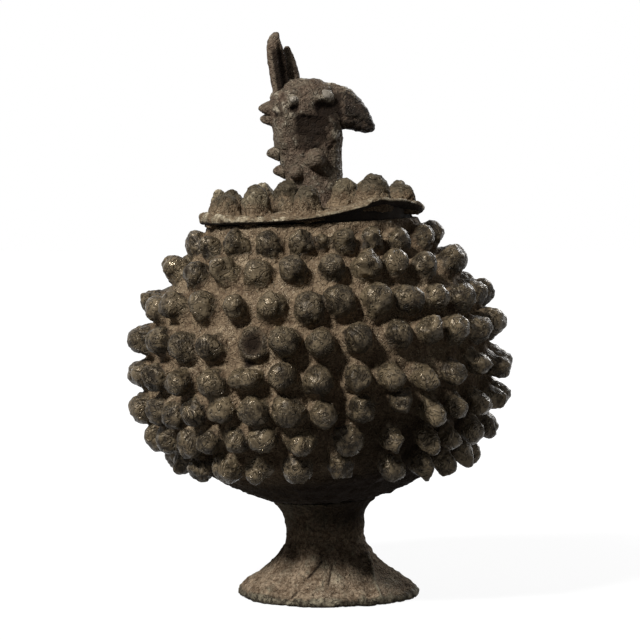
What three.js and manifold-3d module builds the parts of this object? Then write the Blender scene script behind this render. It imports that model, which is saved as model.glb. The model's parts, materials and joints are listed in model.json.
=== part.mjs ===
// A cast bronze medicine box: a round bowl set with rows of hand-rolled knobs, on a flared hollow
// foot, closed by a loose round lid that carries more knobs and a crested bird's head as its grip.
// Millimetres, +Z up. The bird looks along +X, and the side seen in most pictures faces -Y.
import * as THREE from "three";
import { mergeVertices } from "three/addons/utils/BufferGeometryUtils.js";
import Module from "manifold-3d";

const wasm = await Module();
wasm.setup();

// How far the bowl leans over its foot towards -X, as it was cast, in degrees.
const leanAngle = 2.5;
// The gap left between two pieces that touch.
const seatGap = 0.3;

// The foot: a hollow skirt that runs in to a neck and opens again under the bowl.
const footHeight = 52;
const footRadius = 48;
const footRimHeight = 4.6;
const footRimWidth = 5.4;
const footRimRound = 0.8;
const footWall = 3.6;
const neckRadius = 20.6;
const neckHeight = 35;
const footTopRadius = 27.4;
const footSides = 30;
const footSteps = 8;

// The bowl: two half ellipses that meet at the belly, with a short upright collar round the mouth.
// It stands off the foot's middle by the shift, towards +X.
const bellyRadius = 90;
const keelDepth = 78;
const crownDepth = 76.9;
const bowlWall = 3.6;
const bowlFloor = 4.2;
const bowlBaseRadius = 28.4;
const bowlShift = 0.5;
const collarRadius = 56.6;
const collarHeight = 13.8;
const lipHeight = 2.2;
const lipRoundShare = 0.25;
const bowlSides = 24;
const bowlOuterSteps = 7;
const bowlInnerSteps = 7;

// A knob, before the sway of handwork: a short tapered barrel under a blunt point. Its radii are
// those of its corners, and its root runs into the bowl's wall by a share of the wall.
const knobRadius = 7.9;
const shoulderRadius = 6.1;
const shoulderHeight = 8.4;
const knobHeight = 12.6;
const knobSides = 5;
const knobRootShare = 0.6;
const girthSway = 0.07;
const lengthSway = 0.08;
const rowSway = 0.6;
const behindSway = 0.1;

// The rows of knobs from the mouth down: how far a row lies from the belly up to the collar, or with
// a minus down to the base, the girth of its knobs, and the turns, in degrees from the front (-Y)
// towards the beak (+X), at which the maker set the knobs of the front. The rest of the row is
// spread evenly behind.
const knobRows = [
  { rise: 0.978, girth: 0.86, behind: 10, front: [-84, -64, -43, -24, -7, 3.5, 14.5, 29, 46, 68, 86] },
  { rise: 0.741, girth: 0.96, behind: 13, front: [-73, -54, -38, -23, -8, 7, 21, 34, 49, 68, 84] },
  { rise: 0.466, girth: 0.98, behind: 14, front: [-86, -70, -57, -42, -28, -15, -2, 8, 21, 33, 46, 59, 74] },
  { rise: 0.21, girth: 1, behind: 14, front: [-90, -76, -60, -48, -36, -21, -10, 1, 13, 27, 38, 49, 63] },
  { rise: -0.032, girth: 1, behind: 15, front: [-78, -62, -48, -35, -23, -11, 0, 12, 22, 34, 46, 58, 72] },
  { rise: -0.198, girth: 1, behind: 16, front: [-80, -66, -56, -44, -33, -21, -10, 1, 13, 26, 37, 48, 60] },
  { rise: -0.352, girth: 1, behind: 14, front: [-80, -67, -52, -42, -30, -20, -7, 9, 24, 39, 50, 64, 80] },
  { rise: -0.52, girth: 1.04, behind: 13, front: [-76, -54, -40, -26, -10, 7, 27, 41, 56, 76] },
];

// The lid: a thin domed plate with a thick rolled edge that was bent up beside the front.
const lidOverhang = 3.8;
const lidThickness = 3.4;
const lidEdgeThickness = 5;
const lidEdgeWidth = 6;
const lidEdgeRound = 1.6;
const lidShift = 0.5;
const lidRise = 3;
const lidSides = 36;
const edgeLift = 8;
const edgeLiftTurn = 45;
const edgeLiftSpread = 34;
const edgeLiftPower = 1.2;

// The flange: a ring under the plate that keeps the lid on the mouth.
const flangeDepth = 6.5;
const flangeThickness = 2.6;
const flangeClearance = 0.6;
const flangeSides = 36;

// The knobs on the lid stand in two rings round the bird's neck, at turns counted as on the bowl.
const lidKnobGirth = 1.05;
const lidKnobLength = 1.08;
const lidRingGap = 0.7;
const lidKnobTilt = 10;
const lidKnobTurns = {
  inner: [-75, -24, 38, 88, 137, 186, 236],
  outer: [-72, -36, -2, 43, 80, 107, 134, 161, 188, 215, 241, 264],
};

// The bird's neck and head, as level slices: height over the plate, how far the slice's middle
// lies towards the beak, and its half sizes along and across the head.
const headSides = 14;
const headSlices = [
  { height: 0, forward: 1.6, long: 17.4, wide: 16.6 },
  { height: 4, forward: 2.4, long: 15.6, wide: 14.6 },
  { height: 14, forward: 2.6, long: 15.2, wide: 13.4 },
  { height: 22, forward: 1.2, long: 16.2, wide: 13.4 },
  { height: 33, forward: 0, long: 18.3, wide: 14.2 },
  { height: 44, forward: -0.2, long: 18.6, wide: 14.6 },
  { height: 54, forward: -0.8, long: 18.4, wide: 14.2 },
  { height: 62.5, forward: -1.2, long: 16.8, wide: 12.4 },
  { height: 66.6, forward: -1.8, long: 11.6, wide: 8.4 },
  { height: 68.8, forward: -1.8, long: 6.2, wide: 4.4 },
];

// The beak, as upright slices: distance towards its tip, its lower and upper edges over the plate,
// and its half thickness. The first slice lies inside the head, which cuts it to a seat.
const beakSides = 12;
const beakKeel = 0.75;
const beakSlices = [
  { forward: 8, low: 43, high: 65.5, half: 9.4 },
  { forward: 17.5, low: 40.6, high: 64.4, half: 9 },
  { forward: 23.4, low: 40.8, high: 62.2, half: 7.8 },
  { forward: 28.8, low: 40.2, high: 57.8, half: 6.1 },
  { forward: 33, low: 39.4, high: 51, half: 4.2 },
  { forward: 35.6, low: 40, high: 44.5, half: 2 },
];

// Pellets on the head and neck: height over the plate, turn from the beak towards the bird's
// right, and size against a bowl knob. A pair has one on each side.
const pellets = {
  eye: { height: 60.2, turn: 50, size: 0.41, pair: true },
  ear: { height: 56, turn: 108, size: 0.37, pair: true },
  throat_pellet: { height: 26, turn: 78, size: 0.62, pair: true },
  nape_pellet: { height: 19, turn: 124, size: 0.55, pair: true },
  nape_spike_a: { height: 53, turn: 174, size: 0.41 },
  nape_spike_b: { height: 46.5, turn: 186, size: 0.39 },
  nape_spike_c: { height: 29.5, turn: 176, size: 0.37 },
  nape_spike_d: { height: 20, turn: 184, size: 0.36 },
};

// The crest: two hollowed upright feathers, one on each side of the skull.
const featherWall = 2.2;
const featherHollowLeast = 0.3;
const featherArc = 200;
const featherArcSteps = 5;
const featherTurn = 60;
const crestSpacing = 9.4;
const featherTaper = [
  { share: 0, swell: 0.84 },
  { share: 0.3, swell: 1 },
  { share: 0.6, swell: 0.97 },
  { share: 0.82, swell: 0.84 },
  { share: 0.95, swell: 0.62 },
  { share: 1, swell: 0.4 },
];
const feathers = {
  right: { side: 1, back: 12.6, foot: 55, length: 38, radius: 4.9, rake: 4 },
  left: { side: -1, back: 7, foot: 59, length: 26.6, radius: 4.3, rake: 9 },
};

const degrees = THREE.MathUtils.degToRad;
const leanSlope = Math.tan(degrees(leanAngle));
const times = (count, make) => Array.from({ length: count }, (_, i) => make(i));

// A steady sway between -1 and 1 that makes each hand-made copy a little different.
const sway = (row, place, trait) => Math.sin(17.3 * row + 7.9 * place + 2.6 * trait);

// A turned form about +Z from [radius, height] points that run once round the section.
function turned(outline, sides) {
  const points = outline.map(([radius, height]) => new THREE.Vector2(radius, height));
  points.push(points[0].clone());
  return new THREE.LatheGeometry(points, sides).rotateX(Math.PI / 2);
}

// A closed solid for joining and cutting.
function solidOf(geometry) {
  const bare = geometry.clone();
  bare.deleteAttribute("normal");
  bare.deleteAttribute("uv");
  const merged = mergeVertices(bare, 1e-4);
  return new wasm.Manifold(
    new wasm.Mesh({
      numProp: 3,
      vertProperties: merged.attributes.position.array,
      triVerts: new Uint32Array(merged.index.array),
    }),
  );
}

function geometryOf(solid) {
  const mesh = solid.getMesh();
  const geometry = new THREE.BufferGeometry();
  geometry.setAttribute("position", new THREE.BufferAttribute(mesh.vertProperties, 3));
  return geometry.setIndex(new THREE.BufferAttribute(mesh.triVerts, 1));
}

// One solid out of forms that run into each other.
const joined = (forms) => geometryOf(forms.map(solidOf).reduce((whole, form) => whole.add(form)));

// A form whose root is cut away to lie on the piece that carries it.
const seated = (form, carrier) => geometryOf(solidOf(form).subtract(solidOf(carrier)));

// The faces that close a round end, and those that close the end of a hollowed blade.
const roundCap = (count) => times(count - 2, (i) => [0, i + 1, i + 2]);
const bladeCap = (count) =>
  times(count / 2 - 1, (i) => [
    [i, i + 1, count - 1 - i],
    [i + 1, count - 2 - i, count - 1 - i],
  ]).flat();

// A skin over rings of points that all have the same count, closed at both ends.
function lofted(rings, capOf) {
  const count = rings[0].length;
  const last = (rings.length - 1) * count;
  const faces = [];
  for (let foot = 0; foot < last; foot += count) {
    for (let i = 0; i < count; i++) {
      const [a, b] = [foot + i, foot + ((i + 1) % count)];
      faces.push(a, b, b + count, a, b + count, a + count);
    }
  }
  for (const [a, b, c] of capOf(count)) {
    faces.push(c, b, a, last + a, last + b, last + c);
  }
  const positions = rings.flat().flatMap((point) => point.toArray());
  const geometry = new THREE.BufferGeometry();
  geometry.setAttribute("position", new THREE.Float32BufferAttribute(positions, 3));
  return geometry.setIndex(faces);
}

// A point on a circle, with its turn counted from the front towards +X.
const around = (radius, turn, height) =>
  new THREE.Vector3(radius * Math.sin(degrees(turn)), -radius * Math.cos(degrees(turn)), height);

// Moves a form that stands on z = 0 to a point, with its own axis along the given direction.
function standOn(geometry, point, direction) {
  const turn = new THREE.Quaternion().setFromUnitVectors(new THREE.Vector3(0, 0, 1), direction);
  return geometry.applyQuaternion(turn).translate(point.x, point.y, point.z);
}

// One knob with its root below z = 0, a little different at each row and place.
function knob(row, place, girth, height, root) {
  const wide = girth * (1 + girthSway * sway(row, place, 1));
  const long = height * (1 + lengthSway * sway(row, place, 2));
  const outline = [
    [0, -root],
    [knobRadius * wide, -root],
    [shoulderRadius * wide, shoulderHeight * long],
    [0, knobHeight * long],
  ];
  return turned(outline, knobSides).rotateZ(sway(row, place, 3) * Math.PI);
}

// The foot's outer radius at a height: it flares as a square below the neck and a cube above it.
function footOuter(height) {
  if (height < neckHeight) {
    const share = (neckHeight - height) / (neckHeight - footRimHeight);
    return neckRadius + (footRadius - neckRadius) * Math.min(share, 1) ** 2;
  }
  const share = (height - neckHeight) / (footHeight - neckHeight);
  return neckRadius + (footTopRadius - neckRadius) * share ** 3;
}

// The foot, turned upright, then leant so that its top takes the bowl's tilt and its rim stays flat.
function footGeometry() {
  const skin = times(footSteps + 1, (i) => {
    const height = THREE.MathUtils.lerp(footRimHeight, footHeight, i / footSteps);
    return [footOuter(height), height];
  });
  const slopeAt = (i) => {
    const [low, high] = [skin[Math.max(i - 1, 0)], skin[Math.min(i + 1, footSteps)]];
    return (high[0] - low[0]) / (high[1] - low[1]);
  };
  const lining = skin
    .map(([radius, height], i) => {
      const reach = footWall / Math.hypot(1, slopeAt(i));
      return [radius - reach, height + slopeAt(i) * reach];
    })
    .filter(([, height], i) => i > 0 && i < footSteps && height > 0);
  const outline = [
    [footRadius - footRimWidth, 0],
    [footRadius - footRimRound, 0],
    [footRadius, footRimHeight / 2],
    ...skin,
    [footTopRadius - footWall, footHeight],
    ...lining.reverse(),
  ];
  const geometry = turned(outline, footSides);
  const position = geometry.getAttribute("position");
  for (let i = 0; i < position.count; i++) {
    const [x, z] = [position.getX(i), position.getZ(i)];
    const share = THREE.MathUtils.smoothstep(z, footRimHeight, footHeight);
    position.setX(i, x - leanSlope * z);
    position.setZ(i, z + leanSlope * share * x);
  }
  return geometry;
}

// The angle on an ellipse of the given reach at which its radius is the one given.
const angleAt = (radius, reach) => Math.acos(radius / reach);
const bellyHeight = keelDepth * Math.sin(angleAt(bowlBaseRadius, bellyRadius));
const collarFoot = bellyHeight + crownDepth * Math.sin(angleAt(collarRadius, bellyRadius));
const rimHeight = collarFoot + collarHeight;
const mouthRadius = collarRadius - bowlWall;

// A point of the bowl's section at an ellipse angle, on its outer skin or set in from it.
function bowlPoint(angle, inset) {
  const depth = (angle < 0 ? keelDepth : crownDepth) - inset;
  return [(bellyRadius - inset) * Math.cos(angle), bellyHeight + depth * Math.sin(angle)];
}

// Points of the bowl's section between two ellipse angles.
const bowlArc = (from, to, inset, steps) =>
  times(steps + 1, (i) => bowlPoint(THREE.MathUtils.lerp(from, to, i / steps), inset));

function bowlShell() {
  const innerReach = bellyRadius - bowlWall;
  const floorAngle = -Math.asin((bellyHeight - bowlFloor) / (keelDepth - bowlWall));
  const [low, high] = [-angleAt(bowlBaseRadius, bellyRadius), angleAt(collarRadius, bellyRadius)];
  return turned(
    [
      [0, 0],
      ...bowlArc(low, high, 0, bowlOuterSteps),
      [collarRadius, rimHeight - lipHeight],
      [collarRadius - bowlWall * lipRoundShare, rimHeight],
      [mouthRadius + bowlWall * lipRoundShare, rimHeight],
      [mouthRadius, rimHeight - lipHeight],
      ...bowlArc(angleAt(mouthRadius, innerReach), floorAngle, bowlWall, bowlInnerSteps),
      [0, bowlFloor],
    ],
    bowlSides,
  );
}

// The turns of all the knobs in a row, round from its first one.
function rowTurns({ behind, front }) {
  const last = front.at(-1);
  const step = (360 + front[0] - last) / (behind + 1);
  const turnAt = (i) => last + step * (i + 1 + behindSway * sway(i, behind, 5));
  return [...front, ...times(behind, turnAt)];
}

// The knobs stand square to the bowl's skin, with the unevenness of handwork.
function bowlKnobs() {
  return knobRows.flatMap((knobRow, row) => {
    const farthest = angleAt(knobRow.rise < 0 ? bowlBaseRadius : collarRadius, bellyRadius);
    return rowTurns(knobRow).map((turn, place) => {
      const angle = knobRow.rise * farthest + degrees(rowSway * sway(row, place, 4));
      const depth = angle < 0 ? keelDepth : crownDepth;
      const [radius, height] = bowlPoint(angle, 0);
      const rise = (bellyRadius * Math.sin(angle)) / (depth * Math.cos(angle));
      const direction = around(1, turn, rise).normalize();
      const form = knob(row, place, knobRow.girth, 1, bowlWall * knobRootShare);
      return standOn(form, around(radius, turn, height), direction);
    });
  });
}

// The lid's outer edge, and the flat in its middle that the bird stands on.
const lidRadius = collarRadius + lidOverhang;
const neckReach = headSlices[0].forward + headSlices[0].long;
const lidFlatRadius = neckReach + lidRingGap;

// How far the plate rises above a level one at a point: it is domed, and its edge is bent up.
function lidBend(x, y) {
  const off = (THREE.MathUtils.radToDeg(Math.atan2(x, -y)) - edgeLiftTurn) / edgeLiftSpread;
  const reach = Math.max(Math.hypot(x, y) - lidFlatRadius, 0) / (lidRadius - lidFlatRadius);
  const dome = lidRise * (1 - THREE.MathUtils.smoothstep(reach, 0, 1));
  return dome + edgeLift * Math.exp(-off * off) * reach ** edgeLiftPower;
}

// A turned disc, bent as the lid is.
function bentDisc(outline) {
  const disc = turned(outline, lidSides);
  const position = disc.getAttribute("position");
  for (let i = 0; i < position.count; i++) {
    position.setZ(i, position.getZ(i) + lidBend(position.getX(i), position.getY(i)));
  }
  return disc;
}

// The plate's top from its edge to its middle, raised by a height.
function lidTop(raise) {
  const edge = lidEdgeThickness + raise;
  const top = lidThickness + raise;
  return [
    [lidRadius, edge - lidEdgeRound],
    [lidRadius - lidEdgeRound, edge],
    [lidRadius - lidEdgeWidth, top],
    [(lidRadius + lidFlatRadius) / 2, top],
    [lidFlatRadius, top],
    [0, top],
  ];
}

// The plate's underside from its middle to its edge, lowered by a height.
const lidUnderside = (drop) => [
  [0, -drop],
  [lidFlatRadius, -drop],
  [(lidRadius + lidFlatRadius) / 2, -drop],
  [collarRadius, -drop],
  [lidRadius, lidEdgeRound - drop],
];

// The knobs stand on the plate in rings. Their roots are made long, then cut to the plate's top.
function lidKnobs() {
  const carrier = bentDisc([[0, -lidRadius], [lidRadius, -lidRadius], ...lidTop(seatGap)]);
  const reach = knobRadius * lidKnobGirth * (1 + girthSway);
  const innerRing = neckReach + lidRingGap + reach;
  const rings = [
    { radius: innerRing, turns: lidKnobTurns.inner },
    { radius: innerRing + 2 * reach + lidRingGap, turns: lidKnobTurns.outer },
  ];
  return rings.flatMap(({ radius, turns }, ring) => {
    return turns.map((turn, place) => {
      const foot = around(radius, turn, lidThickness);
      foot.z += lidBend(foot.x, foot.y);
      const row = knobRows.length + ring;
      const direction = around(Math.tan(degrees(lidKnobTilt)), turn, 1).normalize();
      const form = knob(row, place, lidKnobGirth, lidKnobLength, lidThickness);
      return seated(standOn(form, foot, direction), carrier);
    });
  });
}

// The flange is centred on the mouth and passes inside its flats. Its upper end is made long, then
// cut to the plate's underside.
function flangeGeometry() {
  const outer = mouthRadius * Math.cos(Math.PI / bowlSides) - flangeClearance;
  const inner = outer - flangeThickness;
  const carrier = bentDisc([...lidUnderside(seatGap), [lidRadius, lidRadius], [0, lidRadius]]);
  const ring = [
    [inner, -flangeDepth],
    [outer, -flangeDepth],
    [outer, edgeLift],
    [inner, edgeLift],
  ];
  return seated(turned(ring, flangeSides).translate(lidShift, 0, 0), carrier);
}

// The head's skin, or one that stands out from it by the gap that its pellets and beak keep.
function headSkin(standOut) {
  return lofted(
    headSlices.map(({ height, forward, long, wide }, i) =>
      times(headSides, (side) => {
        const turn = (side / headSides) * 2 * Math.PI;
        const raised = height + (i === headSlices.length - 1 ? standOut : 0);
        const x = forward + (long + standOut) * Math.cos(turn);
        return new THREE.Vector3(x, (wide + standOut) * Math.sin(turn), raised);
      }),
    ),
    roundCap,
  );
}

// A point on the head's skin, and the direction square to it.
function onHead(height, turn) {
  const above = headSlices.findIndex((slice) => slice.height >= height);
  const [low, high] = [headSlices[above - 1], headSlices[above]];
  const share = (height - low.height) / (high.height - low.height);
  const mix = (key) => THREE.MathUtils.lerp(low[key], high[key], share);
  const [cos, sin] = [Math.cos(degrees(turn)), Math.sin(degrees(turn))];
  const point = new THREE.Vector3(mix("forward") + mix("long") * cos, -mix("wide") * sin, height);
  const direction = new THREE.Vector3(cos / mix("long"), -sin / mix("wide"), 0).normalize();
  return { point, direction };
}

// The beak's slices are egg shaped, broad above and narrow below.
function beakGeometry() {
  return lofted(
    beakSlices.map(({ forward, low, high, half }) =>
      times(beakSides, (side) => {
        const turn = (side / beakSides) * 2 * Math.PI;
        const rise = (1 + Math.sin(turn)) / 2;
        const across = half * Math.cos(turn) * THREE.MathUtils.lerp(beakKeel, 1, rise);
        return new THREE.Vector3(forward, across, THREE.MathUtils.lerp(low, high, rise));
      }),
    ),
    roundCap,
  );
}

function pelletGeometry({ height, turn, size }, place, side) {
  const { point, direction } = onHead(height, turn * side);
  const form = knob(knobRows.length + 2, place, size, size, knobRadius * size);
  return standOn(form, point, direction);
}

// A feather: a hollowed blade, widest below its middle and blunt at the tip.
function featherGeometry({ side, back, foot, length, radius, rake }) {
  const half = degrees(featherArc / 2);
  const arcAt = (reach, height) => (share) => {
    const turn = THREE.MathUtils.lerp(-half, half, share);
    return new THREE.Vector3(-reach * Math.cos(turn), -reach * Math.sin(turn), height);
  };
  const rings = featherTaper.map(({ share, swell }) => {
    const outer = arcAt(radius * swell, share * length);
    const hollow = Math.max(radius * swell - featherWall, radius * swell * featherHollowLeast);
    const inner = arcAt(hollow, share * length);
    const shares = times(featherArcSteps + 1, (step) => step / featherArcSteps);
    return [...shares.map(outer), ...shares.reverse().map(inner)];
  });
  return lofted(rings, bladeCap)
    .rotateZ(degrees(-featherTurn * side))
    .rotateY(degrees(-rake))
    .translate(-back, (-side * crestSpacing) / 2, foot);
}

const bronze = (color, roughness) => new THREE.MeshStandardMaterial({ color, roughness, metalness: 0.55 });
const footBronze = bronze(0x5e5143, 0.72);
const bowlBronze = bronze(0x54483b, 0.62);
const lidBronze = bronze(0x63574b, 0.64);
const birdBronze = bronze(0x4f453b, 0.6);

function piece(name, geometry, finish) {
  const mesh = new THREE.Mesh(geometry, finish);
  mesh.name = name;
  return mesh;
}

// The bird stands on the plate and faces +X.
function birdGroup() {
  const bird = new THREE.Group();
  const skin = headSkin(seatGap);
  const addSeated = (name, form) => bird.add(piece(name, seated(form, skin), birdBronze));
  bird.add(piece("bird_head", headSkin(0), birdBronze));
  addSeated("bird_beak", beakGeometry());
  Object.entries(pellets).forEach(([name, pellet], place) => {
    addSeated(pellet.pair ? `bird_${name}_right` : `bird_${name}`, pelletGeometry(pellet, place, 1));
    if (pellet.pair) addSeated(`bird_${name}_left`, pelletGeometry(pellet, place, -1));
  });
  for (const [side, feather] of Object.entries(feathers)) {
    addSeated(`crest_feather_${side}`, featherGeometry(feather));
  }
  return bird;
}

// The lid's own frame has the underside of its plate at z = 0.
function lidGroup() {
  const lid = new THREE.Group();
  lid.add(piece("lid_plate", bentDisc([...lidUnderside(0), ...lidTop(0)]), lidBronze));
  lid.add(piece("lid_flange", flangeGeometry(), lidBronze));
  lidKnobs().forEach((geometry, i) => {
    lid.add(piece(`lid_knob_${String(i + 1).padStart(2, "0")}`, geometry, lidBronze));
  });
  const bird = birdGroup();
  bird.position.z = lidThickness + lidRise + seatGap;
  return lid.add(bird);
}

// The bowl and what it carries share a leaning frame, with its origin on the foot's top.
const vessel = new THREE.Group();
vessel.position.set(bowlShift - leanSlope * footHeight, 0, footHeight + seatGap);
vessel.rotation.y = -degrees(leanAngle);
vessel.add(piece("knobbed_bowl", joined([bowlShell(), ...bowlKnobs()]), bowlBronze));
const lid = lidGroup();
lid.position.set(-lidShift, 0, rimHeight + seatGap);
vessel.add(lid);

const box = new THREE.Group();
box.add(piece("pedestal_foot", footGeometry(), footBronze), vessel);

// The origin is the middle of the box that holds the whole object, on the ground.
box.updateMatrixWorld(true);
const middle = new THREE.Box3().setFromObject(box, true).getCenter(new THREE.Vector3());
box.position.set(-middle.x, -middle.y, 0);

export default box;
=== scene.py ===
# A cast bronze medicine box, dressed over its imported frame: a knobbed bowl on a flared foot, under a
# loose lid with knobs of its own and a crested bird's head. Metres, beak along +X, front along -Y.
import json
import math
import random

import bpy
import numpy as np
from mathutils import Matrix, Vector
from mathutils.kdtree import KDTree


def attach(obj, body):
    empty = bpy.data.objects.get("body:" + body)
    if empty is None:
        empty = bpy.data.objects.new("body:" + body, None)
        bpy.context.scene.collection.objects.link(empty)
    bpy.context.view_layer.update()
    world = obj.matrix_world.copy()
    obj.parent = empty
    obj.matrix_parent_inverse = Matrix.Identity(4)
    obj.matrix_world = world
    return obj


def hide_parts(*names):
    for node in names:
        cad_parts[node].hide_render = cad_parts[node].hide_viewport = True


mm = 0.001
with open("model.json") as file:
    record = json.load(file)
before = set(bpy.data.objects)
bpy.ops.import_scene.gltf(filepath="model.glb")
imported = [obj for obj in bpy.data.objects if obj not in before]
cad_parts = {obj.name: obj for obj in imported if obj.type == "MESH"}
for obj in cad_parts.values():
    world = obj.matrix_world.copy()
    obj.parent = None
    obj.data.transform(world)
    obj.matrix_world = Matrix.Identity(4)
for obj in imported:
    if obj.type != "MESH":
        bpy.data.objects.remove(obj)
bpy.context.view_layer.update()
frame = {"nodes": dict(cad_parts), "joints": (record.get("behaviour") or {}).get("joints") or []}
chance = random.Random(11)


# picking and editing

def pickNothing():
    if bpy.context.mode != "OBJECT":
        bpy.ops.object.mode_set(mode="OBJECT")
    bpy.ops.object.select_all(action="DESELECT")


def pick(*objs):
    pickNothing()
    for obj in objs:
        obj.select_set(True)
    bpy.context.view_layer.objects.active = objs[0]
    return objs[0]


def editAll(obj):
    pick(obj)
    bpy.ops.object.mode_set(mode="EDIT")
    bpy.ops.mesh.select_all(action="SELECT")


def leaveEdit():
    bpy.ops.object.mode_set(mode="OBJECT")


def finishWith(obj, kind, **settings):
    pick(obj)
    modifier = obj.modifiers.new(kind.title(), kind)
    for key, value in settings.items():
        setattr(modifier, key, value)
    bpy.ops.object.modifier_apply(modifier=modifier.name)


# A form of rings that stand on each other, each (middle x, middle y, height, half x, half y) in mm.
def stackRings(name, rings, sides, capped=True):
    pickNothing()
    fill = "NGON" if capped else "NOTHING"
    bpy.ops.mesh.primitive_circle_add(vertices=sides, radius=mm, fill_type=fill)
    obj = bpy.context.object
    obj.name = obj.data.name = name
    editAll(obj)
    last = rings[0]
    bpy.ops.transform.translate(value=Vector(last[:3]) * mm)
    bpy.ops.transform.resize(value=(last[3], last[4], 1), center_override=Vector(last[:3]) * mm)
    for ring in rings[1:]:
        step = (Vector(ring[:3]) - Vector(last[:3])) * mm
        bpy.ops.mesh.extrude_region_move(TRANSFORM_OT_translate={"value": step})
        growth = (ring[3] / last[3], ring[4] / last[4], 1)
        bpy.ops.transform.resize(value=growth, center_override=Vector(ring[:3]) * mm)
        last = ring
    bpy.ops.mesh.select_all(action="SELECT")
    bpy.ops.mesh.remove_doubles(threshold=1e-6)
    bpy.ops.mesh.normals_make_consistent(inside=False)
    leaveEdit()
    return obj


def roundRings(profile):  # (radius, height) pairs
    return [(0, 0, height, radius, radius) for radius, height in profile]


def facet(obj, point, normal):  # slices a flat off a form
    editAll(obj)
    bpy.ops.mesh.bisect(plane_co=Vector(point) * mm, plane_no=normal, use_fill=True, clear_outer=True)
    leaveEdit()


def copyOf(model, name, place):
    made = model.copy()
    made.data = model.data.copy()
    made.name = made.data.name = name
    bpy.context.scene.collection.objects.link(made)
    made.data.transform(place)
    return made


def fuse(name, *forms):  # forms that run into each other, as one object
    whole = pick(*forms)
    bpy.ops.object.join()
    whole.name = whole.data.name = name
    return whole


def skin(obj, voxel):  # one closed skin over all that the object holds
    finishWith(obj, "REMESH", mode="VOXEL", voxel_size=voxel * mm)


def soften(obj, times, group=""):
    finishWith(obj, "SMOOTH", factor=0.5, iterations=times, vertex_group=group)


def roughen(obj, layers, group=""):  # unevenness in layers, each of a size and a depth in mm
    for size, depth in layers:
        grain = bpy.data.textures.new("grain", "CLOUDS")
        grain.noise_scale = size * mm
        finishWith(obj, "DISPLACE", texture=grain, texture_coords="LOCAL", strength=depth * mm,
                   vertex_group=group)


def thin(obj, triangles):
    obj.data.calc_loop_triangles()
    count = len(obj.data.loop_triangles)
    if count > triangles:
        finishWith(obj, "DECIMATE", ratio=triangles / count)


def settle(obj, seat, turn=Matrix.Identity(4)):  # moves a form from its own frame to its seat
    pick(obj)
    obj.matrix_world = Matrix.Translation(seat) @ turn
    bpy.ops.object.transform_apply(location=True, rotation=True, scale=True)


# points

def vertexValues(obj, key):
    flat = np.empty(len(obj.data.vertices) * 3, np.float32)
    obj.data.vertices.foreach_get(key, flat)
    return flat.reshape(-1, 3).astype(float)


def pointsOf(obj):
    return vertexValues(obj, "co")


def normalsOf(obj):
    return vertexValues(obj, "normal")


def putPoints(obj, points):
    obj.data.vertices.foreach_set("co", points.astype(np.float32).ravel())
    obj.data.update()


def addGroup(obj, name, weights):  # in tenths
    group = obj.vertex_groups.new(name=name)
    steps = np.clip(np.round(weights * 10), 0, 10).astype(int)
    for step in range(1, 11):
        group.add(np.flatnonzero(steps == step).tolist(), step / 10, "REPLACE")
    return name


def ease(low, high, value):  # 0 to 1 with soft ends
    share = np.clip((value - low) / (high - low), 0, 1)
    return share * share * (3 - 2 * share)


# How far the skin lies under the mean of what is round it, in mm: above 0 in a hollow.
def hollowOf(obj, passes):
    count = len(obj.data.vertices)
    pairs = np.empty(len(obj.data.edges) * 2, np.int32)
    obj.data.edges.foreach_get("vertices", pairs)
    near, far = np.concatenate([pairs[::2], pairs[1::2]]), np.concatenate([pairs[1::2], pairs[::2]])
    links = np.maximum(np.bincount(near, minlength=count), 1)
    points = pointsOf(obj)
    mean = points
    for _ in range(passes):
        mean = np.stack([np.bincount(near, mean[far, k], count) / links for k in range(3)], 1)
    return ((mean - points) * normalsOf(obj)).sum(1) / mm


def turnOf(points):  # degrees from the front (-Y) towards the beak (+X)
    return np.degrees(np.arctan2(points[:, 0], -points[:, 1]))


def reachOf(points):  # mm from the upright axis
    return np.hypot(points[:, 0], points[:, 1]) / mm


def around(radius, turn, height):
    return Vector((radius * math.sin(math.radians(turn)), -radius * math.cos(math.radians(turn)), height))


# How near each point lies to a line of a width in mm, seen from one side: 1 on it, 0 away from it.
def nearLine(obj, line, width, facing=(0, -1, 0)):
    points, normals = pointsOf(obj), normalsOf(obj)
    seen = [k for k in range(3) if facing[k] == 0]
    flat = points[:, seen] / mm
    stops = np.array(line, float)
    distance = np.full(len(flat), np.inf)
    for start, end in zip(stops, stops[1:] if len(stops) > 1 else stops):
        along = end - start
        share = np.clip((flat - start) @ along / max(along @ along, 1e-9), 0, 1)
        distance = np.minimum(distance, np.linalg.norm(flat - start - share[:, None] * along, axis=1))
    shown = np.clip((normals @ np.array(facing, float)) * 2.5, 0, 1)
    return np.exp(-((distance / width) ** 2)) * shown


# Presses the skin in, or with a plus depth raises it, beside a line.
def press(obj, line, width, depth, facing=(0, -1, 0)):
    push = depth * mm * nearLine(obj, line, width, facing)
    putPoints(obj, pointsOf(obj) + normalsOf(obj) * push[:, None])


# What the finishes read of a form, all from 0 to 1: how far it stands out, what of it is sooted or
# darkened as painted shade, how hollow it lies, and the tone of its metal.
def finishSkin(obj, relief, tone, sootAndShade=0, passes=10):
    level = np.zeros(len(obj.data.vertices))
    deepest = 0.7  # mm that count as a full hollow
    read = {
        "relief": np.clip(level + relief, 0, 1),
        "sootAndShade": level + sootAndShade,
        "hollow": np.clip(hollowOf(obj, passes) / deepest, -1, 1) / 2 + 0.5,
        "tone": level + tone,
    }
    for name, values in read.items():
        made = obj.data.attributes.new(name, "FLOAT", "POINT")
        made.data.foreach_set("value", np.asarray(values, np.float32))
    pick(obj)
    bpy.ops.object.shade_smooth()


# knobs, modelled once each and copied

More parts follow.
